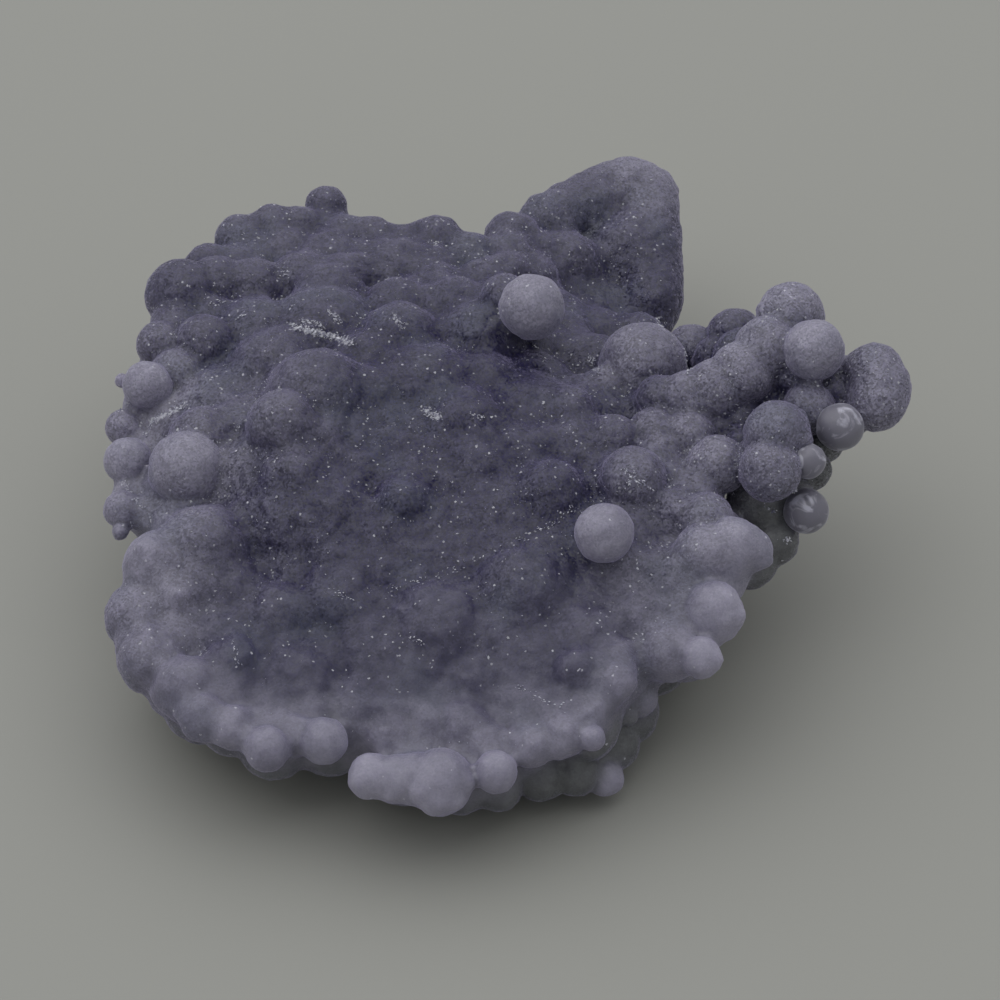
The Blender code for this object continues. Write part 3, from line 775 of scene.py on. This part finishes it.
def lineFrost(points, normals):
    # how white the skin is along the lines where its grains have gathered
    columns, rows = shownAt(points)
    towardEye = np.einsum("ij,ij->i", normals, np.array(eye) - points) > 0.0
    frost = np.zeros(len(points))
    for startC, startR, endC, endR, count, width in whiteLines:
        alongC, alongR = endC - startC, endR - startR
        length = math.hypot(alongC, alongR)
        share = ((columns - startC) * alongC + (rows - startR) * alongR) / length ** 2
        share = np.clip(share, 0.0, 1.0)
        away = np.hypot(columns - startC - share * alongC, rows - startR - share * alongR)
        density = min(count / (length + width) / stone["denseLine"], 1.0)
        reach = width + stone["frostReach"]
        frost = np.maximum(frost, density * np.exp(-(away / reach) ** 2))
    return frost * towardEye


def crispness(ball):
    # 1 for a ball that stands clear of its neighbours, 0 for one that has flowed into them
    usual = stone["usualCrispness"] if isinstance(ball.kind, tuple) else 0.0
    return crispBalls.get(ball.kind, usual)


def curvature(mesh, points, ends):
    # above zero on the crowns of balls and below zero in the crevices, smoothed a little
    normals = readRows(mesh.vertices, "normal", 3)
    count = np.maximum(np.bincount(ends.ravel(), minlength=len(points)), 1).astype(float)
    mean = np.stack([neighbourMean(points[:, axis], ends, count) for axis in range(3)], axis=1)
    bend = -np.einsum("ij,ij->i", mean - points, normals) / stone["voxel"]
    for _ in range(2):
        bend = 0.5 * bend + 0.5 * neighbourMean(bend, ends, count)
    return bend


def knobble(points, normals, softness):
    # small knobs of later growth, up to a tenth of a millimetre high
    firm, soft = stone["knobShares"]
    for number, point in enumerate(points):
        if point[2] < stone["cutZone"]:
            continue
        place = Vector(point) / stone["knobSize"]
        knob = noise.noise(place) + 0.6 * noise.noise(place * 2.1)
        height = stone["knobHeight"] * (firm + soft * softness[number]) * knob
        points[number] += normals[number] * height


def addNode(tree, kind, sockets=None, **settings):
    # a node with its settings; its inputs are linked where a socket is given, or else set
    node = tree.nodes.new("ShaderNode" + kind)
    for name, value in settings.items():
        setattr(node, name, value)
    for key, value in (sockets or {}).items():
        if isinstance(value, bpy.types.NodeSocket):
            tree.links.new(value, node.inputs[key])
        else:
            node.inputs[key].default_value = value
    return node.outputs


def addObject(name, data):
    made = bpy.data.objects.new(name, data)
    bpy.context.scene.collection.objects.link(made)
    return made


def newMaterial(name):
    material = bpy.data.materials.new(name)
    material.use_nodes = True
    return material, material.node_tree, material.node_tree.nodes["Principled BSDF"]


# Druzy chalcedony, a botryoidal skin grown from water and never polished. The eye sees milky
# violet-grey stone, dark and deep in the middle of the plate, hazy and pale at the rims, and
# grey-green below, under a sugar of quartz whose facets glint one by one.
def druzyChalcedony():
    material, tree, shader = newMaterial("druzyChalcedony")
    place = addNode(tree, "TexCoord")["Object"]
    pale, older, bend, sugar, frost = [
        addNode(tree, "Attribute", attribute_name=name)["Fac"]
        for name in ("pale", "older", "bend", "sugar", "frost")]

    # the place, moved by up to 0.5 mm so that no pattern repeats
    wander = addNode(tree, "TexNoise", {"Vector": place, "Scale": 1.0 / (1.7 * mm),
                                        "Detail": 1.0})["Color"]
    shift = addNode(tree, "VectorMath", {0: wander, 3: 0.5 * mm}, operation="SCALE")[0]
    warped = addNode(tree, "VectorMath", {0: place, 1: shift}, operation="ADD")[0]

    # cloudy growth some 4 mm across, mottled by the millimetre, with painted light on the crowns
    # and painted shade in the crevices
    clouds = addNode(tree, "TexNoise", {"Vector": place, "Scale": 1.0 / (4.2 * mm),
                                        "Detail": 3.0, "Roughness": 0.55})["Fac"]
    mottle = addNode(tree, "TexNoise", {"Vector": place, "Scale": 1.0 / (1.2 * mm),
                                        "Detail": 3.0, "Roughness": 0.6})["Fac"]
    cloudy = addNode(tree, "MapRange", {0: clouds, 1: 0.3, 2: 0.7, 3: 0.80, 4: 1.20})[0]
    mottled = addNode(tree, "MapRange", {0: mottle, 1: 0.3, 2: 0.7, 3: -0.035, 4: 0.045})[0]
    # painted shade: darker in the crevices between balls; painted light: paler on their crowns
    paintedCrownGlowCreviceShade = addNode(tree, "MapRange", {0: bend, 1: -0.10, 2: 0.06, 3: -0.12, 4: 0.05})[0]
    level = addNode(tree, "Math", {0: pale, 1: cloudy}, operation="MULTIPLY")[0]
    level = addNode(tree, "Math", {0: level, 1: mottled}, operation="ADD")[0]
    level = addNode(tree, "Math", {0: level, 1: paintedCrownGlowCreviceShade}, operation="ADD", use_clamp=True)[0]
    colour = addNode(tree, "Mix", {0: level, 6: linearColour(stone["violetDark"]),
                                   7: linearColour(stone["lilacPale"])}, data_type="RGBA")[2]
    # faint bluish patches 6 mm across, and the older growth
    blue = addNode(tree, "TexNoise", {"Vector": place, "Scale": 1.0 / (6.0 * mm),
                                      "Detail": 2.0})["Fac"]
    blue = addNode(tree, "MapRange", {0: blue, 1: 0.52, 2: 0.68, 3: 0.0, 4: 0.22})[0]
    colour = addNode(tree, "Mix", {0: blue, 6: colour, 7: linearColour(stone["blueHaze"])},
                     data_type="RGBA")[2]
    old = addNode(tree, "Mix", {0: mottle, 6: linearColour(stone["olderDark"]),
                                7: linearColour(stone["olderPale"])}, data_type="RGBA")[2]
    colour = addNode(tree, "Mix", {0: older, 6: colour, 7: old}, data_type="RGBA")[2]

    # sugar of quartz: grains 0.14 mm apart, each with its own brightness
    grains = addNode(tree, "TexVoronoi", {"Vector": place, "Scale": 1.0 / (0.14 * mm)})["Color"]
    tone = addNode(tree, "SeparateColor", {"Color": grains})
    speckle = addNode(tree, "MapRange", {0: tone[0], 3: -0.38, 4: 0.42})[0]
    amount = addNode(tree, "Math", {0: sugar, 1: 0.1}, operation="ADD")[0]
    speckle = addNode(tree, "Math", {0: speckle, 1: amount}, operation="MULTIPLY")[0]
    speckle = addNode(tree, "Math", {0: speckle, 1: 1.0}, operation="ADD")[0]
    colour = addNode(tree, "VectorMath", {0: colour, 3: speckle}, operation="SCALE")[0]
    # frosted flecks 0.3 mm across along the broken lines
    flecks = addNode(tree, "TexNoise", {"Vector": place, "Scale": 1.0 / (0.3 * mm),
                                        "Detail": 3.0, "Roughness": 0.65})["Fac"]
    flecks = addNode(tree, "MapRange", {0: flecks, 1: 0.3, 2: 0.7, 3: -0.55, 4: 0.55})[0]
    flecks = addNode(tree, "Math", {0: frost, 1: flecks}, operation="ADD")[0]
    flecks = addNode(tree, "MapRange", {0: flecks, 1: 0.72, 2: 1.10, 3: 0.0, 4: 0.70})[0]
    colour = addNode(tree, "Mix", {0: flecks, 6: colour, 7: linearColour(druse["white"])},
                     data_type="RGBA")[2]
    # the whitest grains, gathered in crevices and in drifts 2.4 mm across
    drift = addNode(tree, "TexNoise", {"Vector": place, "Scale": 1.0 / (2.4 * mm),
                                       "Detail": 2.0, "Roughness": 0.6})["Fac"]
    drift = addNode(tree, "MapRange", {0: drift, 1: 0.46, 2: 0.70, 3: 0.004, 4: 0.028})[0]
    hollow = addNode(tree, "MapRange", {0: bend, 1: -0.10, 2: -0.01, 3: 0.012, 4: 0.0})[0]
    often = addNode(tree, "Math", {0: drift, 1: hollow}, operation="ADD")[0]
    often = addNode(tree, "Math", {0: often, 1: sugar}, operation="MULTIPLY")[0]
    white = addNode(tree, "Math", {0: tone[1], 1: often}, operation="LESS_THAN")[0]
    bright = addNode(tree, "MapRange", {0: tone[2], 3: 0.2, 4: 0.7})[0]
    white = addNode(tree, "Math", {0: white, 1: bright}, operation="MULTIPLY")[0]
    colour = addNode(tree, "Mix", {0: white, 6: colour, 7: linearColour(druse["white"])},
                     data_type="RGBA")[2]
    tree.links.new(colour, shader.inputs["Base Color"])

    # relief: low knobs 0.9 mm apart, each grain's own tilt, and fine frost
    knobs = addNode(tree, "TexVoronoi", {"Vector": warped, "Scale": 1.0 / (0.9 * mm)})[0]
    knobs = addNode(tree, "Math", {0: knobs, 1: 2.0}, operation="POWER")[0]
    knobs = addNode(tree, "Math", {0: 1.0, 1: knobs}, operation="SUBTRACT")[0]
    strength = addNode(tree, "Math", {0: sugar, 1: 0.8}, operation="MULTIPLY")[0]
    relief = addNode(tree, "Bump", {"Height": knobs, "Distance": 0.16 * mm,
                                    "Strength": strength})[0]
    tilt = addNode(tree, "VectorMath", {0: grains, 1: (0.5, 0.5, 0.5)},
                   operation="SUBTRACT")[0]
    strength = addNode(tree, "Math", {0: sugar, 1: 0.6}, operation="MULTIPLY")[0]
    tilt = addNode(tree, "VectorMath", {0: tilt, 3: strength}, operation="SCALE")[0]
    tilted = addNode(tree, "VectorMath", {0: relief, 1: tilt}, operation="ADD")[0]
    facets = addNode(tree, "VectorMath", {0: tilted}, operation="NORMALIZE")[0]
    fine = addNode(tree, "TexNoise", {"Vector": place, "Scale": 1.0 / (0.3 * mm),
                                      "Detail": 3.0, "Roughness": 0.7})["Fac"]
    relief = addNode(tree, "Bump", {"Height": fine, "Distance": 0.06 * mm, "Strength": 0.6,
                                    "Normal": facets})[0]
    tree.links.new(relief, shader.inputs["Normal"])
    roughness = addNode(tree, "MapRange", {0: tone[2], 3: 0.30, 4: 0.62})[0]
    tree.links.new(roughness, shader.inputs["Roughness"])
    shader.inputs["IOR"].default_value = 1.54
    shader.inputs["Subsurface Weight"].default_value = 0.6
    shader.inputs["Subsurface Radius"].default_value = (1.0, 0.9, 1.1)
    shader.inputs["Subsurface Scale"].default_value = 1.8 * mm
    # the bloom of frost that lightens the stone toward its edges
    shader.inputs["Sheen Weight"].default_value = 0.72
    shader.inputs["Sheen Roughness"].default_value = 0.32
    shader.inputs["Sheen Tint"].default_value = linearColour(stone["bloom"])
    return material


def makeStone():
    balls = allBalls()
    print("balls", len(balls), round(time.time() - began, 1))
    mesh = fusedMesh(balls)
    print("fused", len(mesh.polygons), round(time.time() - began, 1))
    points = readRows(mesh.vertices, "co", 3)
    onCut = points[:, 2] < stone["cutBelow"]
    near = nearBalls(points, balls)
    drawToBalls(points, balls, near)
    pale, older, softness, sugar = ballTones(points, balls, near)
    ends = readRows(mesh.edges, "vertices", 2, np.int64)
    melt(points, ends, softness)
    mesh.vertices.foreach_set("co", points.ravel())
    mesh.update()
    knobble(points, readRows(mesh.vertices, "normal", 3), softness)
    points[onCut, 2] = 0.0
    points[:, 2] = np.maximum(points[:, 2], 0.0)
    mesh.vertices.foreach_set("co", points.ravel())
    mesh.update()
    print("drawn to the balls", round(time.time() - began, 1))
    bend = curvature(mesh, points, ends)
    frost = lineFrost(points, readRows(mesh.vertices, "normal", 3))
    for name, values in (("pale", pale), ("older", older), ("bend", bend), ("sugar", sugar),
                         ("frost", frost)):
        layer = mesh.attributes.new(name, "FLOAT", "POINT")
        layer.data.foreach_set("value", np.asarray(values, dtype=np.float32))
    mesh.materials.append(druzyChalcedony())
    corners = readRows(mesh.polygons, "vertices", 3, np.int64)
    mesh.shade_smooth()
    piece = addObject("grapeAgateStone", mesh)
    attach(piece, "root")
    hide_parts("grape_agate")
    print("stone", round(time.time() - began, 1))
    return points, corners, sugar, bend


clearBerry = {
    "kernel": 0.70,  # share of the berry's radius
    "subdivisions": 5,
    "waviness": 0.03,
    "waves": 1.7,
    "shift": 1.0 / 900.0,  # so that no two berries have the same waves
    "grey": "#7b7986",
    "white": "#bcbbc9",
    "bloom": "#c8c6da",
}


# Clear chalcedony, milky inside: the eye sees a smoother skin, white veils under it and light
# that goes deep.
def clearChalcedony():
    material, tree, shader = newMaterial("clearChalcedony")
    place = addNode(tree, "TexCoord")["Object"]
    # veils 1.4 mm apart
    veil = addNode(tree, "TexNoise", {"Vector": place, "Scale": 1.0 / (1.4 * mm),
                                      "Detail": 4.0, "Distortion": 1.2})["Fac"]
    veil = addNode(tree, "MapRange", {0: veil, 1: 0.52, 2: 0.66})[0]
    colour = addNode(tree, "Mix", {0: veil, 6: linearColour(clearBerry["grey"]),
                                   7: linearColour(clearBerry["white"])}, data_type="RGBA")[2]
    tree.links.new(colour, shader.inputs["Base Color"])
    # frost pits 0.4 mm apart
    frost = addNode(tree, "TexNoise", {"Vector": place, "Scale": 1.0 / (0.4 * mm),
                                       "Detail": 3.0})["Fac"]
    relief = addNode(tree, "Bump", {"Height": frost, "Distance": 0.05 * mm,
                                    "Strength": 0.5})[0]
    tree.links.new(relief, shader.inputs["Normal"])
    shader.inputs["Roughness"].default_value = 0.38
    shader.inputs["IOR"].default_value = 1.54
    shader.inputs["Transmission Weight"].default_value = 0.10
    shader.inputs["Subsurface Weight"].default_value = 1.0
    shader.inputs["Subsurface Radius"].default_value = (1.0, 1.0, 1.0)
    shader.inputs["Subsurface Scale"].default_value = 2.0 * mm
    shader.inputs["Sheen Weight"].default_value = 0.8
    shader.inputs["Sheen Roughness"].default_value = 0.3
    shader.inputs["Sheen Tint"].default_value = linearColour(clearBerry["bloom"])
    return material


def makeClearBerries():
    # the clear berries, each a slightly wavy ball round its kernel
    shape = bmesh.new()
    for berry in branchBerries:
        if (berry.column, berry.row) not in clearBerries:
            continue
        ball = berryBall(berry)
        made = bmesh.ops.create_icosphere(shape, subdivisions=clearBerry["subdivisions"],
                                          radius=1.0)
        for vertex in made["verts"]:
            place = vertex.co * clearBerry["waves"] + ball.centre / clearBerry["shift"]
            wave = 1.0 + clearBerry["waviness"] * noise.noise(place)
            vertex.co = ball.centre + vertex.co * ball.radius * wave
    mesh = bpy.data.meshes.new("clearBerries")
    shape.to_mesh(mesh)
    shape.free()
    mesh.materials.append(clearChalcedony())
    mesh.shade_smooth()
    piece = addObject("clearBerries", mesh)
    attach(piece, "root")
    print("clear berries", len(mesh.polygons), round(time.time() - began, 1))


druse = {
    "crystals": 4200,
    "length": (0.04 * mm, 0.15 * mm),
    "lineLength": (0.06 * mm, 0.17 * mm),
    "driftSize": 2.4 * mm,
    "betweenDrifts": 0.12,
    "inDrifts": 3.0,
    "hollowDepth": 0.08,
    "hollowGain": 5.0,
    "form": (0.34, 0.35, -0.6),  # a crystal's radius, shoulder and foot, by its length
    "lean": 0.9,
    "jitter": 0.05 * mm,
    "pickReach": 4.0,  # how near, in pixels, a face must show to a line's crystal
    "frontDepth": 0.8 * mm,
    "seed": 11,
    "shade": "#8c8ca2",
    "bright": "#ececf6",
    "white": "#d8d8e0",
}


# Clear quartz grown in tiny points: the eye sees white where a facet catches the light.
def whiteQuartz():
    material, tree, shader = newMaterial("whiteQuartz")
    place = addNode(tree, "TexCoord")["Object"]
    # the tone changes from point to point, about every 0.4 mm
    tone = addNode(tree, "TexNoise", {"Vector": place, "Scale": 1.0 / (0.4 * mm)})["Fac"]
    tone = addNode(tree, "MapRange", {0: tone, 1: 0.35, 2: 0.65})[0]
    colour = addNode(tree, "Mix", {0: tone, 6: linearColour(druse["shade"]),
                                   7: linearColour(druse["bright"])}, data_type="RGBA")[2]
    tree.links.new(colour, shader.inputs["Base Color"])
    shader.inputs["Roughness"].default_value = 0.20
    shader.inputs["IOR"].default_value = 1.544
    shader.inputs["Transmission Weight"].default_value = 0.10
    return material


def crystalPattern():
    # a six-sided point, 8 corners, of height 1
    radius, shoulder, foot = druse["form"]
    ring = [(radius * math.cos(k * math.pi / 3), radius * math.sin(k * math.pi / 3), shoulder)
            for k in range(6)]
    corners = np.array(ring + [(0.0, 0.0, 1.0), (0.0, 0.0, foot)])
    faces = [(k, (k + 1) % 6, 6) for k in range(6)] + [((k + 1) % 6, k, 7) for k in range(6)]
    return corners, np.array(faces)


def turnedTo(directions, spin):
    # rotation matrices that take +Z to each direction, turned about it by spin
    helper = np.where(np.abs(directions[:, 2:3]) < 0.9, [[0.0, 0.0, 1.0]], [[1.0, 0.0, 0.0]])
    first = np.cross(helper, directions)
    first /= np.linalg.norm(first, axis=1, keepdims=True)
    second = np.cross(directions, first)
    cosine = np.cos(spin)[:, None]
    sine = np.sin(spin)[:, None]
    return np.stack([first * cosine + second * sine, second * cosine - first * sine,
                     directions], axis=2)


def makeDruse(points, corners, sugar, bend):
    # tiny quartz points all over the skin and thickly along the white lines, in one mesh
    random = np.random.RandomState(druse["seed"])
    triangles = points[corners]
    across = np.cross(triangles[:, 1] - triangles[:, 0], triangles[:, 2] - triangles[:, 0])
    area = np.linalg.norm(across, axis=1)
    normals = across / np.maximum(area, 1e-15)[:, None]
    middle = triangles.mean(axis=1)
    chance = area * sugar[corners].mean(axis=1) ** 1.5
    hollow = -bend[corners].mean(axis=1) / druse["hollowDepth"]
    chance *= 1.0 + druse["hollowGain"] * np.clip(hollow, 0.0, 1.0)
    chance *= np.clip(normals[:, 2] + 0.6, 0.05, 1.0)  # few where the skin looks down
    drift = np.array([noise.noise(Vector(place) / druse["driftSize"]) for place in middle])
    chance *= druse["betweenDrifts"] + druse["inDrifts"] * np.clip(drift, 0.0, 1.0)
    chance[middle[:, 2] < stone["cutZone"]] = 0.0
    picked = random.choice(len(chance), druse["crystals"], p=chance / chance.sum())
    mix = random.dirichlet((1.0, 1.0, 1.0), len(picked))
    spots = (triangles[picked] * mix[:, :, None]).sum(axis=1)
    outward = normals[picked]
    small, large = druse["length"]
    size = small + (large - small) * random.uniform(0.0, 1.0, len(picked)) ** 3

    # crystals along the lines read from the view, on the face that shows there
    columns, rows = shownAt(middle)
    facing = (middle - np.array(eye)) @ np.array(forward)
    towardEye = -np.einsum("ij,ij->i", normals, middle - np.array(eye)) > 0.0
    reach = druse["pickReach"]
    lineSpots, lineNormals, lineSizes = [], [], []
    for startC, startR, endC, endR, count, width in whiteLines:
        for _ in range(count):
            share = random.uniform()
            column = startC + (endC - startC) * share + random.normal() * width * 0.5
            row = startR + (endR - startR) * share + random.normal() * width * 0.5
            near = towardEye & (np.abs(columns - column) < reach) & (np.abs(rows - row) < reach)
            if not near.any():
                continue
            options = np.nonzero(near)[0]
            front = options[facing[options] < facing[options].min() + druse["frontDepth"]]
            best = front[np.argmin((columns[front] - column) ** 2 + (rows[front] - row) ** 2)]
            lineSpots.append(middle[best] + random.normal(size=3) * druse["jitter"])
            along = right * (endC - startC) - up * (endR - startR)
            lineNormals.append(np.array(along.normalized()) + 0.5 * normals[best])
            lineSizes.append(random.uniform(*druse["lineLength"]))
    spots = np.concatenate([spots, np.array(lineSpots)])
    outward = np.concatenate([outward, np.array(lineNormals)])
    size = np.concatenate([size, np.array(lineSizes)])
    lean = outward + random.normal(size=outward.shape) * druse["lean"] * 0.5
    lean /= np.linalg.norm(lean, axis=1, keepdims=True)
    turns = turnedTo(lean, random.uniform(0.0, 2.0 * math.pi, len(lean)))
    shape, faces = crystalPattern()
    placed = np.einsum("nij,kj->nki", turns, shape) * size[:, None, None] + spots[:, None, :]
    allFaces = faces[None, :, :] + (np.arange(len(spots)) * len(shape))[:, None, None]
    placed = placed.reshape(-1, 3)
    placed[:, 2] = np.maximum(placed[:, 2], 0.02 * mm)
    mesh = bpy.data.meshes.new("quartzDruse")
    mesh.from_pydata(placed.tolist(), [], allFaces.reshape(-1, 3).tolist())
    mesh.materials.append(whiteQuartz())
    piece = addObject("quartzDruse", mesh)
    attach(piece, "root")
    print("druse", len(spots), len(mesh.polygons), round(time.time() - began, 1))


stage = {
    "halfSide": 1.5,
    "floorGrey": "#989893",
    "floorRoughness": 0.7,
    "surroundGrey": "#c3c5c6",
    "surroundStrength": 0.78,
    # name, place, size and power: one broad soft light above and behind, and a weak one
    "lights": (("overhead", (-0.10, 0.25, 0.75), 1.60, 6.4),
               ("fill", (-0.45, -0.25, 0.60), 0.80, 0.5)),
    "lightAim": Vector((0.0, 0.0, 0.01)),
}


def makeStage():
    # a plain pale floor, soft lights and an even grey surround
    side = stage["halfSide"]
    mesh = bpy.data.meshes.new("floor")
    mesh.from_pydata([(-side, -side, 0), (side, -side, 0), (side, side, 0), (-side, side, 0)],
                     [], [(0, 1, 2, 3)])
    floor = addObject("floor", mesh)
    material, tree, shader = newMaterial("paleFloor")
    shader.inputs["Base Color"].default_value = linearColour(stage["floorGrey"])
    shader.inputs["Roughness"].default_value = stage["floorRoughness"]
    mesh.materials.append(material)

    world = bpy.data.worlds.new("surround")
    world.use_nodes = True
    background = world.node_tree.nodes["Background"]
    background.inputs["Color"].default_value = linearColour(stage["surroundGrey"])
    background.inputs["Strength"].default_value = stage["surroundStrength"]
    bpy.context.scene.world = world
    for name, place, size, power in stage["lights"]:
        data = bpy.data.lights.new(name, "AREA")
        data.energy = power
        data.size = size
        lamp = addObject(name, data)
        lamp.location = place
        aim = stage["lightAim"] - lamp.location
        lamp.rotation_euler = aim.to_track_quat("-Z", "Y").to_euler()
    print("stage", round(time.time() - began, 1))


def makeCamera():
    data = bpy.data.cameras.new("camera")
    data.sensor_width = 36.0
    data.lens = 36.0 / (2.0 * view["frameMiddle"] * slope)
    data.clip_start = 0.01
    camera = addObject("camera", data)
    basis = Matrix((right, up, -forward)).transposed()
    camera.matrix_world = Matrix.Translation(eye) @ basis.to_4x4()
    bpy.context.scene.camera = camera


bpy.context.scene.view_settings.view_transform = "Standard"
makeStage()
makeCamera()
stonePoints, stoneCorners, stoneSugar, stoneBend = makeStone()
makeClearBerries()
makeDruse(stonePoints, stoneCorners, stoneSugar, stoneBend)
